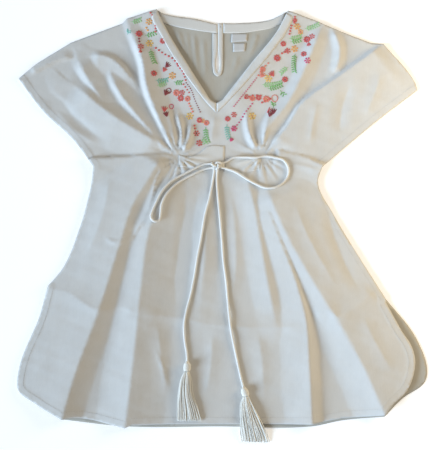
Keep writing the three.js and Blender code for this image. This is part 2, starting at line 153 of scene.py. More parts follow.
SLIT = (True, [(-0.7, 276), (-0.7, 236), (1.4, 212), (-1, 202), (-3.4, 212), (-1.3, 236), (-1.3, 274.5)])

FRONT_OUTLINE = [
    LEFT_SHOULDER, LEFT_SLEEVE_TOP, LEFT_SLEEVE_HEM, LEFT_SIDE, LEFT_CORNER, FRONT_HEM, FRONT_HEM_MIDDLE,
    FRONT_CORNER, RIGHT_SIDE, RIGHT_SLEEVE_HEM, RIGHT_SLEEVE_TOP, RIGHT_SHOULDER, V_RIGHT, V_POINT, V_LEFT,
]
BACK_OUTLINE = [
    LEFT_SHOULDER, LEFT_SLEEVE_TOP, LEFT_SLEEVE_HEM, LEFT_SIDE, LEFT_CORNER, BACK_HEM, BACK_CORNER,
    RIGHT_SIDE, RIGHT_SLEEVE_HEM, RIGHT_SLEEVE_TOP, RIGHT_SHOULDER, BACK_NECK_RIGHT, SLIT, BACK_NECK_LEFT,
]
HEMMED = [LEFT_SLEEVE_HEM, LEFT_CORNER, FRONT_HEM, FRONT_HEM_MIDDLE, FRONT_CORNER, RIGHT_SLEEVE_HEM]

# ---- Folds: name, height, width to the left and right of its line, shares over which it grows and dies,
# and its line, left and right being those of someone walking along it. ------------------------------

SKIRT_FOLDS = [
    ("left_panel_crest", 11, 26, 84, 0.05, 0,
     [(-77, 82), (-100, 42), (-118, 11), (-136, -45), (-164, -138), (-195, -226), (-211, -285)]),
    ("left_inner_ledge", 8, 5, 30, 0.1, 0.4, [(-72, 74), (-84, 51), (-100, -6), (-116, -32), (-134, -70)]),
    ("left_centre_crest", 10, 50, 42, 0.15, 0,
     [(-57, 60), (-94, -19), (-107, -109), (-114, -187), (-126, -296)]),
    ("centre_ridge_left", 4, 22, 20, 0.3, 0.4, [(-14, 50), (-16, -6), (-20, -70), (-26, -140)]),
    ("centre_ridge_right", 6, 22, 26, 0.2, 0.2, [(36, 60), (50, 8), (60, -52), (72, -120), (80, -158)]),
    ("right_centre_crest", 9, 16, 40, 0.1, 0,
     [(61, 24), (87, -44), (106, -95), (120, -150), (124, -216), (127, -291)]),
    ("right_panel_crest", 11, 92, 40, 0.08, 0,
     [(64, 40), (87, -16), (106, -55), (141, -116), (168, -160), (198, -216), (225, -279)]),
    ("left_top_edge", 5.5, 3, 70, 0, 0.1, [(-178, 77), (-126, 80), (-77, 83)]),
    ("right_top_edge", 5.5, 3, 60, 0.1, 0, [(80, 90), (98, 85), (128, 78), (147, 67)]),
]
BODICE_FOLDS = [
    ("left_sleeve_crest", 9, 26, 46, 0.2, 0.15, [(-207, 184), (-148, 136), (-91, 101), (-76, 90)]),
    ("left_sleeve_fold", 6, 30, 12, 0.2, 0.3, [(-202, 222), (-187, 193), (-160, 154), (-144, 135)]),
    ("left_armhole_fold", 7, 28, 12, 0.25, 0.15,
     [(-158, 213), (-149, 187), (-136, 164), (-98, 117), (-73, 84)]),
    ("left_pouch_fold", 5, 9, 34, 0.15, 0.4, [(-185, 227), (-158, 224), (-126, 196), (-112, 172)]),
    ("left_yoke_crest", 8, 26, 9, 0.3, 0.1,
     [(-132, 278), (-109, 218), (-102, 179), (-84, 132), (-63, 88)]),
    ("left_sleeve_strip", 3, 14, 4, 0.1, 0.2, [(-268, 201), (-225, 222), (-207, 224)]),
    ("left_gather_outer", 5, 7, 8, 0.3, 0.1, [(-59, 145), (-52, 116), (-50, 90)]),
    ("left_gather_inner", 5, 7, 8, 0.3, 0.1, [(-37, 128), (-43, 103), (-49, 88)]),
    ("right_sleeve_fold", 7, 92, 5, 0.1, 0.1,
     [(237, 244), (211, 224), (163, 189), (116, 153), (98, 124), (71, 90)]),
    ("right_shoulder_fold", 5, 11, 11, 0.2, 0.2, [(163, 267), (173, 241), (171, 215), (163, 199)]),
    ("right_yoke_crest", 7, 18, 14, 0.15, 0.2,
     [(150, 273), (137, 241), (118, 195), (97, 154), (70, 120), (58, 90)]),
    ("right_gather_inner", 5, 8, 8, 0.4, 0.1, [(40, 150), (42, 120), (52, 90)]),
    ("left_neck_roll", 3.4, 34, 34, 0, 0.2, [(-104, 300), (-72, 240), (-34, 180), (-14, 140)]),
    ("right_neck_roll", 3.4, 34, 34, 0, 0.2, [(114, 300), (72, 228), (30, 175), (6, 140)]),
]
# Light creases laid over the folds: the pressed line across the skirt and the small wrinkles.
CREASES = [
    ("pressed_left", 2.0, 26, 30, 0, 0.1,
     [(-237, -106), (-209, -112), (-166, -137), (-129, -134), (-111, -143)]),
    ("pressed_middle", 1.7, 26, 24, 0.1, 0.1,
     [(-111, -145), (-75, -145), (2, -158), (75, -161), (120, -158)]),
    ("pressed_right", 1.8, 20, 24, 0.1, 0.1,
     [(129, -145), (152, -137), (166, -148), (180, -138), (216, -111)]),
    ("left_small", 1.3, 6, 8, 0.3, 0.1, [(-160, -36), (-141, -44), (-116, -35)]),
    ("hem_curl", 0.8, 5, 7, 0.3, 0.3, [(-88, -186), (-76, -214), (-66, -252)]),
    ("centre_swell", 2.2, 18, 24, 0.3, 0.4, [(14, 40), (22, -10), (24, -80), (16, -140)]),
    ("centre_hollow", -2.0, 16, 16, 0.3, 0.3, [(-46, 50), (-48, -20), (-52, -90), (-60, -140)]),
    ("low_swell_left", 1.8, 16, 20, 0.3, 0.3, [(-84, -150), (-78, -200), (-70, -262)]),
    ("low_swell_middle", 1.8, 20, 14, 0.3, 0.4, [(-8, -162), (-10, -205), (-18, -262)]),
    ("low_swell_right", 1.6, 16, 22, 0.2, 0.4, [(54, -165), (60, -210), (62, -270)]),
    ("right_panel_hollow", -2.2, 22, 16, 0.3, 0.3, [(150, 20), (160, -30), (178, -78), (200, -118)]),
    ("right_panel_swell", 1.6, 14, 18, 0.3, 0.3, [(104, 20), (122, -30), (146, -76), (166, -110)]),
    ("right_panel_low", 1.5, 16, 20, 0.3, 0.3, [(196, -140), (214, -180), (238, -224)]),
    ("left_panel_swell", 1.6, 22, 22, 0.3, 0.3, [(-152, 60), (-160, 0), (-186, -70)]),
    ("right_sleeve_hollow", -2.2, 16, 18, 0.3, 0.3, [(190, 190), (176, 150), (170, 108)]),
    ("right_sleeve_swell", 1.8, 14, 18, 0.3, 0.3, [(234, 208), (222, 170), (206, 134)]),
    ("right_sleeve_low", 1.6, 10, 12, 0.3, 0.3, [(142, 160), (134, 130), (128, 92)]),
    ("left_sleeve_hollow", -2.0, 12, 12, 0.3, 0.4, [(-262, 190), (-220, 150), (-176, 112), (-150, 96)]),
    ("left_sleeve_swell", 1.8, 14, 16, 0.3, 0.3, [(-236, 150), (-196, 112), (-160, 92)]),
    ("left_shoulder_hollow", -2.0, 12, 10, 0.2, 0.3, [(-196, 244), (-160, 244), (-132, 216), (-116, 180)]),
    ("centre_yoke", 1.6, 14, 16, 0.3, 0.2, [(-4, 142), (-8, 118), (-10, 98)]),
    ("right_yoke_small", 2.2, 6, 8, 0.3, 0.2, [(78, 158), (70, 132), (62, 96)]),
    ("left_yoke_small", 1.8, 6, 8, 0.3, 0.2, [(-76, 160), (-66, 126), (-58, 94)]),
    ("right_underarm", 1.4, 6, 10, 0.3, 0.2, [(92, 62), (112, 66), (142, 58)]),
]
# Wrinkles of the back that show in the neck: they fan down from the binding.
BACK_CREASES = [
    ("fan_a", 1.5, 5, 7, 0.2, 0.5, [(-60, 268), (-52, 244), (-42, 222)]),
    ("fan_b", 1.7, 6, 5, 0.2, 0.4, [(-36, 262), (-34, 236), (-30, 200)]),
    ("fan_c", 1.4, 4, 6, 0.2, 0.4, [(-22, 256), (-20, 226), (-18, 190)]),
    ("fan_d", 1.2, 5, 5, 0.3, 0.4, [(-14, 196), (-8, 184), (-4, 168)]),
    ("fan_e", 1.4, 5, 5, 0.3, 0.4, [(10, 196), (6, 184), (2, 170)]),
    ("fan_f", 1.5, 5, 6, 0.2, 0.4, [(56, 262), (50, 240), (42, 224)]),
    ("fan_g", 1.2, 4, 6, 0.2, 0.4, [(28, 228), (24, 212), (18, 198)]),
    ("fan_h", 1.3, 6, 4, 0.2, 0.4, [(-46, 264), (-44, 240), (-38, 214)]),
]
WAIST_LINE = [
    (-186, 77), (-126, 80), (-77, 83), (-58, 78), (58, 82), (80, 90), (98, 85), (128, 78), (150, 66),
]
WAIST_STEP = 1.1
PUCKERS = [(-56, 78, 15, 2.1, 0.4), (60, 80, 15, 2.1, 1.9)]  # x, y, waves round it, height, turn
RIPPLES = [(0.28, 34, 3), (0.10, 13, 5)]  # height, length and seed of the cloth's uneven surface


# ---- Lines and heights ---------------------------------------------------------------------------

def spline(points, step):
    """Points at even steps along a smooth curve through the given ones."""
    p = np.array(points, float)
    if len(p) < 3:
        n = max(2, int(np.linalg.norm(p[-1] - p[0]) / step) + 1)
        return p[0] + (p[-1] - p[0]) * np.linspace(0, 1, n)[:, None]
    ends = np.vstack([2 * p[0] - p[1], p, 2 * p[-1] - p[-2]])
    fine = []
    for a, b, c, d in zip(ends, ends[1:], ends[2:], ends[3:]):
        reach = np.linalg.norm(c - b)
        before, after = max(np.linalg.norm(b - a), 1e-9), max(np.linalg.norm(d - c), 1e-9)
        m1 = ((c - b) + (b - a) * reach / before) / 2
        m2 = ((c - b) + (d - c) * reach / after) / 2
        t = np.linspace(0, 1, 24, endpoint=False)[:, None]
        fine.append((2 * t**3 - 3 * t**2 + 1) * b + (t**3 - 2 * t**2 + t) * m1
                    + (3 * t**2 - 2 * t**3) * c + (t**3 - t**2) * m2)
    fine = np.vstack([*fine, p[-1:]])
    along = np.concatenate([[0], np.cumsum(np.linalg.norm(np.diff(fine, axis=0), axis=1))])
    even = np.linspace(0, along[-1], max(2, round(along[-1] / step) + 1))
    return np.column_stack([np.interp(even, along, fine[:, k]) for k in range(p.shape[1])])


def outline(runs, step=MESH_STEP):
    edge = []
    for bends, points in runs:
        stretches = [points] if bends else [points[i:i + 2] for i in range(len(points) - 1)]
        for stretch in stretches:
            edge.append(spline(stretch, step)[:-1])
    return np.vstack(edge)


def nearest_on(line, at):
    """For each point: its distance from the line, whether it is on the left, and its share along it."""
    best = np.full(len(at), np.inf)
    left = np.zeros(len(at), bool)
    along = np.zeros(len(at))
    lengths = np.linalg.norm(np.diff(line, axis=0), axis=1)
    before = np.concatenate([[0], np.cumsum(lengths)])
    for a, b, length, start in zip(line, line[1:], lengths, before):
        d = b - a
        on = np.clip(((at - a) @ d) / length**2, 0, 1)
        off = at - a - on[:, None] * d
        away = np.hypot(off[:, 0], off[:, 1])
        closer = away < best
        best[closer] = away[closer]
        left[closer] = (d[0] * (at[:, 1] - a[1]) - d[1] * (at[:, 0] - a[0]) > 0)[closer]
        along[closer] = ((start + on * length) / before[-1])[closer]
    return best, left, along


def smooth(x, low, high):
    t = np.clip((x - low) / (high - low), 0, 1)
    return t * t * (3 - 2 * t)


def fold_height(fold, at, roundness=0.5, curl=1.28):
    _, high, wide_left, wide_right, starts, ends, line = fold
    away, left, along = nearest_on(spline(line, 6), at)
    away = np.sqrt(away**2 + roundness**2) - roundness
    slope = np.clip(1 - away / np.where(left, wide_left, wide_right), 0, 1) ** curl
    grown = smooth(along, 0, starts) if starts else 1
    dying = smooth(1 - along, 0, ends) if ends else 1
    return high * slope * (0.25 + 0.75 * grown) * (0.25 + 0.75 * dying)


def crease_height(fold, at):
    _, high, wide_left, wide_right, starts, ends, line = fold
    away, left, along = nearest_on(spline(line, 5), at)
    slope = np.clip(1 - away / np.where(left, wide_left, wide_right), 0, 1) ** 1.8
    return high * slope * smooth(along, 0, max(starts, 1e-3)) * smooth(1 - along, 0, max(ends, 1e-3))


def ripple(at, length, seed):
    """Uneven small waves, about one unit high, of roughly the given length."""
    waves = np.random.default_rng(seed)
    total = np.zeros(len(at))
    for _ in range(14):
        turn, shift = waves.uniform(0, 2 * math.pi, 2)
        size = length * waves.uniform(0.6, 1.8)
        total += np.sin((at[:, 0] * math.cos(turn) + at[:, 1] * math.sin(turn)) * 2 * math.pi / size + shift)
    return total / 5.3


HEM_LINES = [spline(points, 6) for _, points in HEMMED]


def hem_distance(at):
    return np.min([nearest_on(line, at)[0] for line in HEM_LINES], axis=0)


def lifted(at):
    """How far the front is lifted off the back."""
    away, left, _ = nearest_on(np.array(WAIST_LINE, float), at)
    above = smooth(np.where(left, away, -away), -WAIST_STEP, WAIST_STEP)
    skirt = np.max([fold_height(fold, at) for fold in SKIRT_FOLDS], axis=0)
    bodice = np.max([fold_height(fold, at) for fold in BODICE_FOLDS], axis=0)
    height = skirt + (bodice - skirt) * above
    height += sum(crease_height(fold, at) for fold in CREASES)
    for x, y, count, high, turn in PUCKERS:
        far = np.hypot(at[:, 0] - x, at[:, 1] - y)
        angle = np.arctan2(at[:, 1] - y, at[:, 0] - x)
        fan = np.sin(count * angle + 1.7 * np.sin(3 * angle + turn)) + 0.5 * np.sin(31 * angle + turn)
        height += high * (0.6 + fan * 0.55) * smooth(far, 2, 13) * smooth(50 - far, 0, 42)
    for high, length, seed in RIPPLES:
        height += high * ripple(at, length, seed)
    hem = hem_distance(at)
    height += 0.35 * smooth(HEM_WIDTH + 1.2 - hem, 0, 2.4) + 0.2 * ripple(at, 9, 9) * smooth(16 - hem, 0, 14)
    return np.maximum(height, 0)


def back_lift(at):
    """The back's wrinkles, only where it shows in the neck."""
    height = sum(crease_height(fold, at) for fold in BACK_CREASES) + 0.18 * (1 + ripple(at, 16, 4))
    inside = smooth(nearest_on(outline([V_LEFT], 8), at)[0], 3, 9) * smooth(at[:, 1], 150, 168)
    shown = (at[:, 1] > 160) & (np.abs(at[:, 0]) < (at[:, 1] - 140) * 0.68)
    under_trim = smooth(np.abs(at[:, 0] + 1), 6, 14)
    return np.where(shown, height * inside * under_trim, 0)


# ---- Meshes --------------------------------------------------------------------------------------

def link_mesh(name, vertices, faces, material, slot):
    mesh = bpy.data.meshes.new(name)
    mesh.from_pydata([tuple(v) for v in np.asarray(vertices) * MM], [], faces)
    mesh.polygons.foreach_set("use_smooth", [True] * len(mesh.polygons))
    mesh.validate()
    obj = bpy.data.objects.new(name, mesh)
    bpy.context.scene.collection.objects.link(obj)
    mesh.materials.append(material)
    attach(obj, "root")
    return obj


def inside(edge, at):
    within = np.zeros(len(at), bool)
    for (x0, y0), (x1, y1) in zip(edge, np.roll(edge, -1, axis=0)):
        crosses = (y0 > at[:, 1]) != (y1 > at[:, 1])
        with np.errstate(divide="ignore", invalid="ignore"):
            x = (x1 - x0) * (at[:, 1] - y0) / (y1 - y0) + x0
        within ^= crosses & (at[:, 0] < x)
    return within


def grid_inside(edge, step, guides=()):
    """Points inside an edge: those of the guide lines, and a staggered grid that keeps clear of them."""
    low, high = edge.min(axis=0), edge.max(axis=0)
    rows = []
    for k, y in enumerate(np.arange(low[1], high[1], step * 0.87)):
        across = np.arange(low[0] + (k % 2) * step / 2, high[0], step)
        rows.append(np.column_stack([across, np.full(len(across), y)]))
    grid = np.vstack(rows)
    lines = np.vstack([spline(line, step) for line in guides]) if len(guides) else np.zeros((0, 2))
    lines = lines[inside(edge, lines)] if len(lines) else lines
    cell = {}
    for p in np.vstack([edge, lines]):
        cell.setdefault((int(p[0] // step), int(p[1] // step)), []).append(p)

    def clear(p, reach):
        i, j = int(p[0] // step), int(p[1] // step)
        near = [q for di in (-1, 0, 1) for dj in (-1, 0, 1) for q in cell.get((i + di, j + dj), ())]
        return all((p[0] - q[0])**2 + (p[1] - q[1])**2 > reach**2 for q in near)

    grid = grid[inside(edge, grid)]
    return np.vstack([lines, np.array([p for p in grid if clear(p, 0.6 * step)]).reshape(-1, 2)])


def cloth_shell(name, runs, under, top, material, slot, step=MESH_STEP, guides=(), cut_step=None):
    """A closed thin shell inside an outline, its underside and top at the given heights."""
    edge = outline(runs, cut_step or step)
    points = np.vstack([edge, grid_inside(edge, step, guides)])
    ring = list(range(len(edge)))
    flat, _, triangles, *_ = delaunay_2d_cdt([Vector(p) for p in points], [], [ring], 1, 1e-5)
    flat = np.array([tuple(p) for p in flat])
    used = sorted({i for t in triangles for i in t})
    new = {old: k for k, old in enumerate(used)}
    flat = flat[used]
    faces = [tuple(new[i] for i in t) for t in triangles]
    sides = [pair for a, b, c in faces for pair in ((a, b), (b, c), (c, a))]
    shared = set(sides)
    rim = [pair for pair in sides if (pair[1], pair[0]) not in shared]
    count = len(flat)
    vertices = np.vstack([np.column_stack([flat, top(flat)]), np.column_stack([flat, under(flat)])])
    every = faces + [(c + count, b + count, a + count) for a, b, c in faces]
    every += [(b, a, a + count, b + count) for a, b in rim]
    return link_mesh(name, vertices, every, material, slot)


def tube(path, radius, sides=8):
    """Rings round a path and the faces between them, closed at both ends."""
    path = np.asarray(path, float)
    along = np.gradient(path, axis=0)
    along /= np.linalg.norm(along, axis=1)[:, None] + 1e-12
    up = np.tile([0.0, 0.0, 1.0], (len(path), 1))
    side = np.cross(along, up)
    side /= np.linalg.norm(side, axis=1)[:, None] + 1e-12
    up = np.cross(side, along)
    radii = np.broadcast_to(radius, len(path))
    rings = []
    for k in range(sides):
        a = 2 * math.pi * k / sides
        rings.append(path + radii[:, None] * (math.cos(a) * side + math.sin(a) * up))
    vertices = np.stack(rings, axis=1).reshape(-1, 3)
    faces = []
    for r in range(len(path) - 1):
        for k in range(sides):
            a, b = r * sides + k, r * sides + (k + 1) % sides
            faces.append((a, b, b + sides, a + sides))
    last = (len(path) - 1) * sides
    faces += [tuple(range(sides))[::-1], tuple(last + k for k in range(sides))]
    return vertices, [f[::-1] for f in faces]


def joined(parts):
    vertices, faces, start = [], [], 0
    for v, f in parts:
        vertices.append(np.asarray(v))
        faces += [tuple(i + start for i in face) for face in f]
        start += len(v)
    return np.vstack(vertices), faces


def twisted(path, thickness, plies=3, pitch=7.0, sides=7):
    """A rope of a few plies wound round its path."""
    path = spline(path, 0.9)
    along = np.gradient(path, axis=0)
    along /= np.linalg.norm(along, axis=1)[:, None]
    side = np.cross(along, [0, 0, 1.0])
    side /= np.linalg.norm(side, axis=1)[:, None] + 1e-9
    up = np.cross(side, along)
    reach = np.concatenate([[0], np.cumsum(np.linalg.norm(np.diff(path, axis=0), axis=1))])
    parts = []
    for ply in range(plies):
        a = 2 * math.pi * (reach / pitch + ply / plies)
        off = 0.24 * thickness * (np.cos(a)[:, None] * side + np.sin(a)[:, None] * up)
        parts.append(tube(path + off, 0.27 * thickness, sides))
    return joined(parts), path


# ---- Materials -----------------------------------------------------------------------------------

def node_group(name, inputs, outputs):
    group = bpy.data.node_groups.new(name, "ShaderNodeTree")
    for label, kind, value in inputs:
        socket = group.interface.new_socket(label, in_out="INPUT", socket_type=kind)
        socket.default_value = value
    for label, kind in outputs:
        group.interface.new_socket(label, in_out="OUTPUT", socket_type=kind)
    return group, group.nodes.new("NodeGroupInput"), group.nodes.new("NodeGroupOutput")


def plain_weave_group():
    """Warp and weft threads with slubs: a height for bump and a mask of thicker threads."""
    group, given, made = node_group(
        "plain_weave",
        [("Threads", "NodeSocketFloat", 1400.0), ("Slub", "NodeSocketFloat", 0.5)],
        [("Height", "NodeSocketFloat"), ("Slubs", "NodeSocketFloat")],
    )
    n, link = group.nodes.new, group.links.new
    place = n("ShaderNodeTexCoord")
    waves = []
    for axis in ("X", "Y"):
        wave = n("ShaderNodeTexWave")
        wave.wave_type = "BANDS"
        wave.bands_direction = axis
        wave.inputs["Distortion"].default_value = 1.2
        wave.inputs["Detail"].default_value = 1
        link(place.outputs["Object"], wave.inputs["Vector"])
        link(given.outputs["Threads"], wave.inputs["Scale"])
        waves.append(wave)
    weave = n("ShaderNodeMath")
    weave.operation = "MAXIMUM"
    link(waves[0].outputs["Fac"], weave.inputs[0])
    link(waves[1].outputs["Fac"], weave.inputs[1])
    stretch = n("ShaderNodeMapping")
    stretch.inputs["Scale"].default_value = (900, 60, 900)
    link(place.outputs["Object"], stretch.inputs["Vector"])
    slubs = n("ShaderNodeTexNoise")
    slubs.inputs["Scale"].default_value = 1.0
    slubs.inputs["Detail"].default_value = 2
    link(stretch.outputs["Vector"], slubs.inputs["Vector"])
    mixed = n("ShaderNodeMath")
    mixed.operation = "MULTIPLY_ADD"
    link(slubs.outputs["Fac"], mixed.inputs[0])
    link(given.outputs["Slub"], mixed.inputs[1])
    link(weave.outputs[0], mixed.inputs[2])
    link(mixed.outputs[0], made.inputs["Height"])
    link(slubs.outputs["Fac"], made.inputs["Slubs"])
    return group


WEAVE = plain_weave_group()


def woven(name, color, shade, threads=1400.0, bump=0.12, roughness=0.85, sheen=0.25):
    material = bpy.data.materials.new(name)
    material.use_nodes = True
    tree = material.node_tree
    shader = tree.nodes["Principled BSDF"]
    shader.inputs["Roughness"].default_value = roughness
    shader.inputs["Sheen Weight"].default_value = sheen
    shader.inputs["Sheen Roughness"].default_value = 0.5
    shader.inputs["Specular IOR Level"].default_value = 0.25
    weave = tree.nodes.new("ShaderNodeGroup")
    weave.node_tree = WEAVE
    weave.inputs["Threads"].default_value = threads
    tint = tree.nodes.new("ShaderNodeMix")
    tint.data_type = "RGBA"
    tint.inputs["A"].default_value = (*shade, 1)
    tint.inputs["B"].default_value = (*color, 1)
    cloudy = tree.nodes.new("ShaderNodeTexNoise")
    cloudy.inputs["Scale"].default_value = 38
    cloudy.inputs["Detail"].default_value = 4
    place = tree.nodes.new("ShaderNodeTexCoord")
    tree.links.new(place.outputs["Object"], cloudy.inputs["Vector"])
    both = tree.nodes.new("ShaderNodeMath")
    both.operation = "ADD"
    both.use_clamp = True
    half = tree.nodes.new("ShaderNodeMath")
    half.operation = "MULTIPLY"
    half.inputs[1].default_value = 0.6
    tree.links.new(weave.outputs["Slubs"], half.inputs[0])
    tree.links.new(half.outputs[0], both.inputs[0])
    tree.links.new(cloudy.outputs["Fac"], both.inputs[1])
    tree.links.new(both.outputs[0], tint.inputs["Factor"])
    tree.links.new(tint.outputs["Result"], shader.inputs["Base Color"])
    relief = tree.nodes.new("ShaderNodeBump")
    relief.inputs["Strength"].default_value = bump
    relief.inputs["Distance"].default_value = 0.0003
    tree.links.new(weave.outputs["Height"], relief.inputs["Height"])
    tree.links.new(relief.outputs["Normal"], shader.inputs["Normal"])
    return material


cotton = woven("white_cotton", (0.66, 0.65, 0.63), (0.58, 0.575, 0.56))
# The back's cotton is darker and creamier than the front's. This is painted shade for the shadow inside the
# neck, where the back shows; the back is the same white cotton as the front.
back_shade_cotton = woven("white_cotton_painted_shade", (0.50, 0.475, 0.42), (0.42, 0.395, 0.34))
band_cotton = woven("band_cotton", (0.70, 0.685, 0.655), (0.62, 0.61, 0.585), bump=0.1)
label_tape = woven("label_tape", (0.60, 0.60, 0.60), (0.52, 0.525, 0.53), threads=2200, roughness=0.5)
cord_cotton = woven("cord_cotton", (0.84, 0.825, 0.79), (0.74, 0.725, 0.69), threads=2600, bump=0.25)
tassel_yarn = woven("tassel_yarn", (0.84, 0.82, 0.765), (0.74, 0.715, 0.65), threads=3000, bump=0.2)
sewing_thread = woven("sewing_thread", (0.60, 0.59, 0.57), (0.5, 0.49, 0.47), threads=3000)
THREADS = {
    "coral": woven("silk_coral", (0.66, 0.15, 0.14), (0.54, 0.10, 0.10), 3200, 0.3, 0.45, 0.1),
    "pink": woven("silk_pink", (0.66, 0.11, 0.22), (0.52, 0.07, 0.16), 3200, 0.3, 0.45, 0.1),
    "salmon": woven("silk_salmon", (0.78, 0.27, 0.21), (0.68, 0.20, 0.16), 3200, 0.3, 0.45, 0.1),
    "orange": woven("silk_orange", (0.82, 0.42, 0.16), (0.72, 0.32, 0.10), 3200, 0.3, 0.45, 0.1),
    "plum": woven("silk_plum", (0.30, 0.07, 0.08), (0.22, 0.05, 0.06), 3200, 0.3, 0.45, 0.1),
    "yellow": woven("silk_yellow", (0.83, 0.58, 0.20), (0.75, 0.48, 0.14), 3200, 0.3, 0.45, 0.1),
    "green": woven("silk_green", (0.22, 0.50, 0.17), (0.15, 0.40, 0.11), 3200, 0.3, 0.45, 0.1),
    "mint": woven("silk_mint", (0.38, 0.66, 0.33), (0.30, 0.56, 0.26), 3200, 0.3, 0.45, 0.1),
    "teal": woven("silk_teal", (0.24, 0.56, 0.46), (0.17, 0.46, 0.38), 3200, 0.3, 0.45, 0.1),
}


# ---- Panels --------------------------------------------------------------------------------------

def at_height(base, lift):
    return lambda at: base + lift(at)


def flat_at(level):
    return lambda at: np.full(len(at), float(level))


def front_top(at):
    return FRONT_UNDER + CLOTH + lifted(at)


def back_top(at):
    return BACK_TOP + back_lift(at)


FOLD_LINES = [fold[-1] for fold in SKIRT_FOLDS + BODICE_FOLDS] + [fold[-1] for fold in CREASES[:6]]
# The back panel wears the darker cotton of painted shade.
back = cloth_shell("back_panel", BACK_OUTLINE, flat_at(0), back_top, back_shade_cotton, "cotton", step=3.4,
                   cut_step=2.6)
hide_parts("back")
front = cloth_shell("front_panel", FRONT_OUTLINE, at_height(FRONT_UNDER, lifted), front_top, cotton, "cotton",
                    guides=FOLD_LINES)
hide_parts("front")

BAND_RIGHT = [
    (True, [(-2.6, 157), (6, 162), (48, 217), (83, 261), (98, 290)]),
    (True, [(98, 290), (105.7, 284), (94, 255)]),
    (True, [(94, 255), (59, 210), (11, 156), (-2.6, 143)]),
    (False, [(-2.6, 143), (-2.6, 157)]),
]
BAND_LEFT = [
    (True, [(-3.2, 143), (-16, 156), (-56, 211), (-80, 251)]),
    (True, [(-80, 251), (-95.7, 288), (-89, 292)]),
    (True, [(-89, 292), (-69, 255), (-45, 215), (-12, 162), (-3.2, 157)]),
    (False, [(-3.2, 157), (-3.2, 143)]),
]
CASING_LEFT = [
    (False, [(-56, 64), (8.6, 60), (8.6, 95)]),
    (True, [(8.6, 95), (-14, 95), (-29, 84), (-42, 79), (-56, 82)]),
    (False, [(-56, 82), (-56, 64)]),
]
CASING_RIGHT = [
    (False, [(8.9, 59), (36, 56), (58, 60), (60, 76)]),
    (True, [(60, 76), (36, 80), (8.9, 76)]),
    (False, [(8.9, 76), (8.9, 59)]),
]
BINDING_LEFT = [
    (True, [(-1.3, 274), (-31, 281.5), (-77, 289.5), (-86, 294)]),
    (False, [(-86, 294), (-83, 277)]),
    (True, [(-83, 277), (-63, 271), (-38, 266), (-1.3, 260.6)]),
    (False, [(-1.3, 260.6), (-1.3, 274)]),
]
BINDING_RIGHT = [
    (True, [(97, 292), (74, 280.5), (30, 275.5), (6.9, 275.5)]),
    (False, [(6.9, 275.5), (6.9, 261)]),
    (True, [(6.9, 261), (31, 261), (54, 264), (78, 269), (92, 276)]),
    (False, [(92, 276), (97, 292)]),
]
SLIT_BINDING = [
    (True, [(-1.3, 260.2), (-1.3, 236), (-3.4, 212), (-1, 202), (1.4, 212), (-0.7, 236)]),
    (False, [(-0.7, 236), (-0.7, 275.5), (6.5, 275.5), (6.5, 212)]),
    (True, [(6.5, 212), (4, 200), (-1, 196.5), (-6, 200), (-8.5, 212)]),
    (False, [(-8.5, 212), (-8.5, 261), (-1.3, 260.2)]),
]
LABEL = [(False, [(18, 247), (41, 249), (42, 260), (19, 260), (18, 247)])]
SMALL_LABEL = [(False, [(21, 233), (38, 234), (39, 246), (21, 246), (21, 233)])]


def rolled_edge(runs, high):
    """A pressed edge: the trim is full in the middle and thins to its rim."""
    rim = outline(runs, 2.0)
    closed = np.vstack([rim, rim[:1]])
    return lambda at: high * smooth(nearest_on(closed, at)[0], -0.5, 1.6)


def add_trim(node, runs, surface, material, slot, step=1.9):
    edge = rolled_edge(runs, TRIM)

    def base(at):
        return surface(at) + SEAM_GAP

    def top(at):
        return base(at) + TRIM_RIM + edge(at)

    made = cloth_shell(f"{node}_cloth", runs, base, top, material, slot, step)
    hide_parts(node)
    return made


front_trims = [
    add_trim("neck_band_right", BAND_RIGHT, front_top, band_cotton, "band"),
    add_trim("neck_band_left", BAND_LEFT, front_top, band_cotton, "band"),
    add_trim("casing_left", CASING_LEFT, front_top, band_cotton, "band"),
    add_trim("casing_right", CASING_RIGHT, front_top, band_cotton, "band"),
]


def trim_base(at):
    return np.maximum(back_top(at), 1.2)


back_trims = [
    add_trim("back_binding_left", BINDING_LEFT, trim_base, band_cotton, "band"),
    add_trim("back_binding_right", BINDING_RIGHT, trim_base, band_cotton, "band"),
    add_trim("slit_binding", SLIT_BINDING, trim_base, band_cotton, "band", 1.5),
    add_trim("neck_label", LABEL, trim_base, label_tape, "label", 1.5),
    add_trim("small_label", SMALL_LABEL, trim_base, label_tape, "label", 1.5),
]

# ---- Sewing and embroidery -----------------------------------------------------------------------

SPINDLE = 6


def stitch(start, end, width, z0, z1):
    """One raised stitch between two points: a spindle of thread."""
    a, b = np.array([*start, z0]), np.array([*end, z1])
    along = b - a
    length = np.linalg.norm(along) + 1e-9
    along /= length
    side = np.cross(along, [0, 0, 1.0])
    side /= np.linalg.norm(side) + 1e-9
    up = np.cross(side, along)
    rings = [(0.0, 0.35), (0.25, 0.9), (0.75, 0.9), (1.0, 0.35)]
    vertices = [a + along * length * t + width / 2 * r * (math.cos(k) * side + 0.7 * math.sin(k) * up)
                for t, r in rings for k in np.arange(SPINDLE) * 2 * math.pi / SPINDLE]
    faces = [(r * SPINDLE + k, r * SPINDLE + (k + 1) % SPINDLE, (r + 1) * SPINDLE + (k + 1) % SPINDLE,
              (r + 1) * SPINDLE + k) for r in range(3) for k in range(SPINDLE)]
    faces += [tuple(range(SPINDLE))[::-1], tuple(range(3 * SPINDLE, 4 * SPINDLE))]
    return np.array(vertices), [f[::-1] for f in faces]


class Sewing:
    """Stitches of one colour, gathered so that they are laid on their cloth together."""

    def __init__(self):
        self.rows = []

    def add(self, x0, y0, x1, y1, width):
        self.rows.append((x0, y0, x1, y1, width))

    def mesh(self, name, surface, material, slot, proud=0.25):
        rows = np.array(self.rows)
        z0 = surface(rows[:, 0:2]) + proud
        z1 = surface(rows[:, 2:4]) + proud
        parts = [stitch(r[0:2], r[2:4], r[4], a, b) for r, a, b in zip(rows, z0, z1)]
        return link_mesh(name, *joined(parts), material, slot)


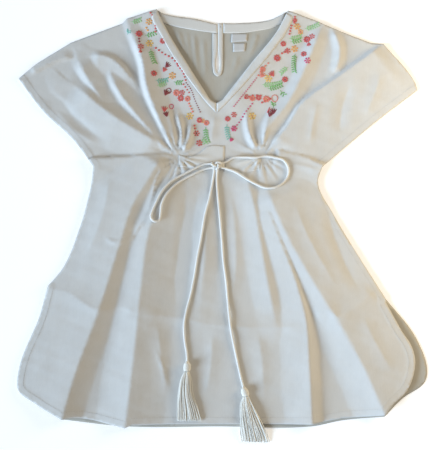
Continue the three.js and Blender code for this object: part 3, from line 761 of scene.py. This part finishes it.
def seam(sewing, line, length=2.4, pitch=3.4, width=0.45):
    points = spline(line, pitch)
    for a, b in zip(points, points[1:]):
        d = (b - a) / np.linalg.norm(b - a)
        sewing.add(*a, *(a + d * length), width)


def offset(line, distance):
    """The line moved sideways, to the left of someone walking along it."""
    points = spline(line, 6)
    d = np.gradient(points, axis=0)
    d /= np.linalg.norm(d, axis=1)[:, None]
    return points + distance * np.column_stack([-d[:, 1], d[:, 0]])


hem_sewing = Sewing()
for bends, points in HEMMED:
    for piece in [points] if bends else [points[i:i + 2] for i in range(len(points) - 1)]:
        moved = offset(piece, HEM_WIDTH - 1)
        if len(moved) > 2:
            seam(hem_sewing, moved)
RIGHT_SIDE_SEAM = [(230, -119), (186, -47), (161, -3), (142, 38)]
seam(hem_sewing, offset(RIGHT_SIDE_SEAM, 7))
front_hem_stitches = hem_sewing.mesh("hem_stitches", front_top, sewing_thread, "cotton", 0.1)

band_sewing = Sewing()
BAND_SEAMS = [
    [(13, 160), (60, 213), (94, 257)],
    [(-18, 160), (-56, 213), (-80, 253)],
    [(-54, 66), (6, 62)],
    [(11, 61), (36, 58), (57, 62)],
    [(7, 93), (-14, 93), (-29, 82.4), (-54, 80)],
]
for line in BAND_SEAMS:
    seam(band_sewing, line)


def on_front_trim(at):
    return front_top(at) + SEAM_GAP + TRIM


band_stitches = band_sewing.mesh("band_stitches", on_front_trim, sewing_thread, "band", 0.15)

neck_sewing = Sewing()
NECK_SEAMS = [
    [(-82, 278.5), (-63, 272.5), (-38, 267.5), (-10, 263)],
    [(8, 262.5), (31, 262.5), (54, 265.5), (78, 270.5), (90, 276.5)],
    [(-7.3, 258), (-7.3, 212), (-5.2, 201), (-1, 198), (3.2, 201), (5.3, 212), (5.3, 272)],
    [(19.5, 258.6), (40.5, 258.6)],
]
for line in NECK_SEAMS:
    seam(neck_sewing, line, 2.0, 3.0)
for turn in range(5):
    neck_sewing.add(1.5 + 0.5 * turn, 268.5, 4.0 - 0.5 * turn, 271.5, 0.7)


def on_back_trim(at):
    return trim_base(at) + SEAM_GAP + TRIM


neck_stitches = neck_sewing.mesh("neck_stitches", on_back_trim, sewing_thread, "band", 0.15)

silks = {color: Sewing() for color in THREADS}


def knots(color, x, y, count=1, gap=4.2, turn=0.0, size=2.6):
    """French knots in a row."""
    for k in range(count):
        px, py = x + k * gap * math.cos(turn), y + k * gap * math.sin(turn)
        for a in (0.2, 1.3, 2.3):
            dx, dy = size * 0.42 * math.cos(a), size * 0.42 * math.sin(a)
            silks[color].add(px - dx, py - dy, px + dx, py + dy, size * 0.62)


def rosette(color, heart, x, y, radius, petals=9):
    """A round flower of satin stitches about a knotted heart."""
    for k in range(petals * 2):
        a = math.pi * k / petals + rng.uniform(-0.08, 0.08)
        far = radius * (1.0 if k % 2 else 0.82)
        silks[color].add(x + 0.3 * radius * math.cos(a), y + 0.3 * radius * math.sin(a),
                         x + far * math.cos(a), y + far * math.sin(a), 0.3 * radius)
    knots(heart, x, y, size=max(1.6, radius * 0.5))


def daisy(color, heart, x, y, radius, petals=6, turn=0.0):
    for k in range(petals):
        a = 2 * math.pi * k / petals + turn
        for side in (-0.14, 0, 0.14):
            silks[color].add(x + 0.28 * radius * math.cos(a), y + 0.28 * radius * math.sin(a),
                             x + radius * math.cos(a + side * 1.6), y + radius * math.sin(a + side * 1.6),
                             radius * 0.24)
    knots(heart, x, y, size=radius * 0.5)


def ring(color, x, y, radius):
    """An open round of back stitches."""
    steps = 9
    for k in range(steps):
        a, b = 2 * math.pi * k / steps, 2 * math.pi * (k + 1) / steps
        silks[color].add(x + radius * math.cos(a), y + radius * 1.2 * math.sin(a),
                         x + radius * math.cos(b), y + radius * 1.2 * math.sin(b), 1.3)


def spray(color, x, y, length, turn, leaf=4.4):
    """A stem with pairs of narrow leaves, about 3.4 mm apart."""
    leaves = max(2, round(length / 3.4))
    for k in range(6):
        a, b = length * k / 6, length * (k + 0.9) / 6
        bend = turn + 0.25 * (k / 6)
        silks[color].add(x + a * math.cos(bend), y + a * math.sin(bend), x + b * math.cos(bend),
                         y + b * math.sin(bend), 0.8)
    for k in range(1, leaves + 1):
        far = length * k / leaves
        px, py = x + far * math.cos(turn + 0.2 * k / leaves), y + far * math.sin(turn + 0.2 * k / leaves)
        for side in (-0.95, 0.95):
            a = turn + side
            for spread in (-0.12, 0.12):
                tip_x = px + leaf * math.cos(a + spread)
                tip_y = py + leaf * math.sin(a + spread)
                silks[color].add(px, py, tip_x, tip_y, 1.0)


def bud(color, x, y, length, turn):
    for side in (-0.5, -0.17, 0.17, 0.5):
        silks[color].add(x, y, x + length * math.cos(turn + side), y + length * math.sin(turn + side), 1.7)


# One row for each motif: what, colours, x, y, size, turn in degrees.
MOTIFS = [
    ("knots", "coral", None, -98, 290, 2, -52), ("knots", "coral", None, -91, 279, 5, -88),
    ("daisy", "orange", "yellow", -100, 277, 5.2, 20), ("knots", "orange", None, -104, 268, 2, -60),
    ("spray", "mint", None, -126, 277, 13, 4), ("spray", "teal", None, -131, 258, 5, 60),
    ("rosette", "coral", "pink", -114, 259, 5.6, 0), ("knots", "plum", None, -114, 251, 2, -80),
    ("spray", "green", None, -106, 257, 15, 2), ("daisy", "yellow", "orange", -99, 245, 5.6, 0),
    ("rosette", "coral", "salmon", -80, 248, 4.8, 0), ("daisy", "coral", "salmon", -111, 239, 4.6, 30),
    ("bud", "coral", None, -112, 234, 5, -80), ("spray", "green", None, -97, 236, 20, -84),
    ("bud", "plum", None, -76, 209, 9, 48), ("bud", "coral", None, -79, 203, 7, 60),
    ("rosette", "coral", "plum", -92, 200, 4.8, 0), ("daisy", "orange", "yellow", -66, 197, 5.4, 30),
    ("spray", "teal", None, -90, 190, 16, -6), ("spray", "mint", None, -88, 182, 12, 12),
    ("spray", "green", None, -64, 188, 10, -16), ("rosette", "salmon", "coral", -60, 172, 5.4, 0),
    ("rosette", "coral", "salmon", -54, 164, 5.0, 0), ("rosette", "salmon", "coral", -44, 163, 4.6, 0),
    ("daisy", "coral", "coral", -52, 172, 4.2, 12), ("bud", "plum", None, -76, 168, 9, 70),
    ("ring", "plum", None, -71, 175, 3.4, 0), ("ring", "pink", None, -67, 152, 3.0, 0),
    ("bud", "coral", None, -77, 143, 9, 84), ("bud", "plum", None, -73, 136, 8, 104),
    ("daisy", "yellow", "orange", -41, 138, 5.4, 10), ("knots", "salmon", None, -42, 156, 4, -66),
    ("rosette", "coral", "orange", -27, 132, 4.6, 0), ("rosette", "salmon", "coral", -17, 128, 4.4, 0),
    ("daisy", "orange", "coral", -22, 131, 3.4, 0), ("spray", "green", None, -18, 122, 20, -92),
    ("daisy", "coral", "plum", -31, 113, 4.4, 0), ("knots", "coral", None, -34, 124, 2, -78),
    ("daisy", "coral", "salmon", -27, 99, 4.8, 20), ("spray", "mint", None, -22, 108, 9, -78),
    ("knots", "coral", None, 110, 284, 3, -96), ("knots", "coral", None, 105, 271, 4, -104),
    ("rosette", "coral", "salmon", 110, 279, 3.6, 0), ("daisy", "orange", "yellow", 113, 270, 5.0, 0),
    ("daisy", "orange", "coral", 118, 262, 4.2, 30), ("spray", "mint", None, 124, 267, 20, 8),
    ("rosette", "coral", "pink", 127, 251, 5.4, 0), ("daisy", "coral", "coral", 134, 255, 4.4, 20),
    ("bud", "coral", None, 129, 246, 6, -84), ("spray", "mint", None, 101, 252, 17, 2),
    ("spray", "green", None, 103, 247, 14, 4), ("rosette", "coral", "salmon", 93, 244, 4.4, 0),
    ("daisy", "orange", "yellow", 109, 237, 5.2, 15), ("daisy", "coral", "pink", 99, 234, 4.4, 40),
    ("rosette", "coral", "plum", 122, 229, 4.6, 0), ("daisy", "pink", "coral", 127, 218, 4.8, 0),
    ("rosette", "coral", "pink", 84, 223, 5.6, 0), ("knots", "coral", None, 91, 230, 3, 30),
    ("spray", "green", None, 110, 230, 26, -104), ("spray", "mint", None, 100, 210, 13, -150),
    ("rosette", "salmon", "coral", 63, 206, 4.6, 0), ("bud", "salmon", None, 60, 194, 9, 56),
    ("bud", "coral", None, 79, 196, 9, 124), ("rosette", "coral", "plum", 95, 192, 4.8, 0),
    ("daisy", "yellow", "orange", 71, 193, 5.6, 0), ("spray", "mint", None, 62, 184, 26, -4),
    ("spray", "green", None, 70, 178, 20, 6), ("spray", "green", None, 88, 176, 8, -62),
    ("rosette", "salmon", "coral", 48, 164, 4.8, 0), ("rosette", "coral", "salmon", 57, 165, 4.6, 0),
    ("rosette", "salmon", "orange", 68, 163, 5.6, 0), ("ring", "salmon", None, 80, 164, 4.4, 0),
    ("daisy", "coral", "coral", 40, 166, 3.8, 10), ("knots", "coral", None, 62, 158, 4, 24),
    ("bud", "plum", None, 72, 136, 10, 72), ("bud", "coral", None, 69, 143, 9, 34),
    ("bud", "plum", None, 78, 140, 9, 88), ("spray", "green", None, 78, 150, 6, 80),
    ("daisy", "yellow", "orange", 48, 138, 5.4, 10), ("rosette", "coral", "pink", 13, 134, 4.4, 0),
    ("daisy", "coral", "salmon", 22, 140, 4.2, 0), ("spray", "teal", None, 12, 126, 20, -92),
    ("daisy", "pink", "pink", 22, 120, 4.6, 0), ("bud", "pink", None, 17, 101, 6, 66),
]
SHAPES = {
    "rosette": lambda c, h, x, y, s, t: rosette(c, h, x, y, s),
    "daisy": lambda c, h, x, y, s, t: daisy(c, h, x, y, s, turn=math.radians(t)),
    "spray": lambda c, h, x, y, s, t: spray(c, x, y, s, math.radians(t)),
    "bud": lambda c, h, x, y, s, t: bud(c, x, y, s, math.radians(t)),
    "knots": lambda c, h, x, y, s, t: knots(c, x, y, count=s, turn=math.radians(t), size=3.6),
    "ring": lambda c, h, x, y, s, t: ring(c, x, y, s),
}
for what, color, heart, x, y, size, turn in MOTIFS:
    SHAPES[what](color, heart, x, y, size, turn)
# The running lines of knots: colour, size and line.
KNOT_LINES = [
    ("coral", 3.6, [(-90, 238), (-78, 229), (-66, 222), (-59, 214)]),
    ("coral", 3.2, [(-58, 211), (-51, 202), (-47, 190)]),
    ("plum", 2.2, [(-46, 186), (-39, 176), (-34, 162), (-26, 144)]),
    ("coral", 3.0, [(-50, 184), (-42, 172)]),
    ("salmon", 3.4, [(71, 215), (64, 208), (57, 197)]),
    ("pink", 2.2, [(54, 193), (44, 180), (33, 166), (22, 152)]),
    ("pink", 3.0, [(48, 156), (38, 143), (30, 130), (20, 118)]),
    ("coral", 3.6, [(38, 164), (48, 168), (60, 168)]),
]
for color, size, line in KNOT_LINES:
    for x, y in spline(line, size * 1.55):
        knots(color, x, y, size=size * rng.uniform(0.9, 1.1))
embroidery = [silk.mesh(f"embroidery_{color}", front_top, THREADS[color], "cotton")
              for color, silk in silks.items()]

# ---- Drawstring ----------------------------------------------------------------------------------

KNOT = (-3, 66)
KNOT_WIDE = 9


def cloth_under(x, y, reach):
    """The highest point of the cloth within reach, seen from above, on a casing or off it."""
    turns = np.arange(8) * math.pi / 4
    spots = [[(x, y)]]
    for share in (0.5, 1):
        far = share * reach
        spots.append(np.column_stack([x + far * np.cos(turns), y + far * np.sin(turns)]))
    around = np.vstack(spots)
    on_casing = abs(x) < 74 and 48 < y < 108
    return front_top(around).max() + (SEAM_GAP + TRIM + 0.2 if on_casing else 0)


KNOT_Z = cloth_under(*KNOT, 7) + 4.2
# Seen from above; the last point of each end lies inside its tassel's head, which is tied round it.
ROUTES = {
    "cord_right_loop": [
        (-1, 68), (9, 70.5), (21, 77), (36, 77.5), (52, 76.5), (64, 79), (78, 77), (91, 73), (98, 62),
        (97, 50), (90, 40.5), (78, 34), (66, 33.5), (52, 39.5), (38, 47.5), (24, 56.5), (11, 61.5),
        (1, 63.5),
    ],
    "cord_left_loop": [
        (-6, 68.5), (-20, 67.5), (-36, 60), (-50, 52.5), (-61, 46.5), (-71, 38), (-79, 27.5), (-86, 13),
        (-92, -1), (-93.5, -9), (-89, -14.5), (-82.5, -12.5), (-80.5, -4), (-79, 9), (-73.5, 22),
        (-65.5, 32.5), (-57, 40.5), (-46, 47.5), (-33, 54.5), (-20, 60.5), (-6, 63),
    ],
    "cord_left_end": [
        (-5.6, 63), (-7.4, 48), (-13, 18), (-19, -6), (-24, -37), (-29, -63), (-33, -89), (-39, -119),
        (-44, -138), (-47, -158), (-46, -178), (-43, -197), (-42.5, -206.6), (-43, -222),
    ],
    "cord_right_end": [
        (-1, 63), (-2.4, 48), (-1, 24), (2, -7), (5, -41), (7, -68), (11, -99), (13, -123), (17, -161),
        (24, -197), (31, -229), (34, -240.9), (37, -254),
    ],
}


def laid(route):
    points = []
    for x, y in route:
        near = math.hypot(x - KNOT[0], y - KNOT[1]) < KNOT_WIDE
        points.append((x, y, KNOT_Z if near else cloth_under(x, y, 3) + CORD / 2 + 0.1))
    return points


cords = {}
for name, route in ROUTES.items():
    (vertices, faces), path = twisted(laid(route), CORD)
    cords[name] = (link_mesh(f"{name}_rope", vertices, faces, cord_cotton, "cord"), path)
    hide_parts(name)

turns = np.linspace(0, 2 * math.pi, 90)
knot_path = np.column_stack([
    KNOT[0] + 2.3 * (np.sin(turns) + 2 * np.sin(2 * turns)),
    KNOT[1] + 1.9 * (np.cos(turns) - 2 * np.cos(2 * turns)),
    KNOT_Z + 0.4 - 2.0 * np.sin(3 * turns),
])
(knot_vertices, knot_faces), _ = twisted(knot_path, CORD)
knot = link_mesh("bow_knot_rope", knot_vertices, knot_faces, cord_cotton, "cord")
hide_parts("bow_knot")

# ---- Tassels -------------------------------------------------------------------------------------
# Sections of a head: middle x, y and half width. Sections of a skirt: middle x, y, half width,
# thickness, and how far it hangs below the top of the cloth. Then the number of strands.

TASSELS = [
    ("left", [(-42.5, -207, 2.2), (-42.5, -211, 5.0), (-42.6, -216, 5.2), (-43, -220, 4.2)],
     [(-43.2, -220, 3.6, 6, 0), (-44, -230, 7.4, 7, 0), (-45, -248, 10, 7, 0), (-42, -270, 15.5, 5.5, 0),
      (-40, -287, 18.5, 3.6, 0)], 110),
    ("right", [(34.6, -242, 2.4), (35.6, -246, 5.2), (36.6, -250, 5.4), (37.2, -253, 4.4)],
     [(37.4, -253, 4.0, 6, 0), (38.5, -264, 8.4, 7, 0), (42, -278, 13, 7, 0), (46, -293, 17, 5.5, 0),
      (49, -304, 19, 4.6, 2.6), (51, -315.5, 20, 3.6, 4.6)], 130),
]


def tassel_skirt(sections, strands):
    levels = [cloth_under(x, y, half) + 0.3 - drop for x, y, half, _, drop in sections]
    parts = []
    for _ in range(strands):
        a, r = rng.uniform(0, 2 * math.pi), math.sqrt(rng.uniform(0.02, 1))
        across, up = r * math.cos(a), r * math.sin(a)
        wander = rng.uniform(-1, 1)
        short = rng.uniform(0.0, 2.5)
        path = []
        for k, ((x, y, half, thick, _), low) in enumerate(zip(sections, levels)):
            last = k == len(sections) - 1
            sway = 1.2 * wander * math.sin(1.3 * k + 4 * wander)
            path.append((x + across * (half - 0.6) + sway * (k > 0), y + (short if last else 0),
                         max(0.8, low + 0.5 + (thick - 1) * (0.5 + 0.5 * up))))
        fine = spline(path, 3.0)
        parts.append(tube(fine, np.linspace(0.62, 0.42, len(fine)), 5))
    return joined(parts)


def tassel_head(rows):
    """A small knob bound with turns of yarn."""
    levels = [cloth_under(x, y, half) + 0.4 for x, y, half in rows]
    coils = 9
    share = np.linspace(0, 1, coils * 20)

    def between(values):
        return np.interp(share * (len(rows) - 1), range(len(rows)), values)

    x, y, across = (between([row[k] for row in rows]) for k in range(3))
    low = between(levels)
    a = share * coils * 2 * math.pi
    reach = across - 0.75
    tall = np.minimum(reach, 3.2)
    wound = np.column_stack([x + reach * np.cos(a), y, low + tall + 0.7 + tall * np.sin(a)])
    core = np.column_stack([x[::12], y[::12], (low + tall + 0.7)[::12]])
    return joined([tube(wound, 0.85, 6), tube(core, np.maximum(0.8, tall[::12]), 10)])


for side, head, skirt, strands in TASSELS:
    top = link_mesh(f"tassel_{side}_binding", *tassel_head(head), tassel_yarn, "tassel")
    strings = link_mesh(f"tassel_{side}_strands", *tassel_skirt(skirt, strands), tassel_yarn, "tassel")
    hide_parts(f"tassel_head_{side}")
    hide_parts(f"tassel_skirt_{side}")


def in_metres(path):
    return [tuple(float(v) * MM for v in p) for p in path]


for name, (rope, path) in cords.items():
    in_metres(path[:1])[0]
    in_metres(path[::3])
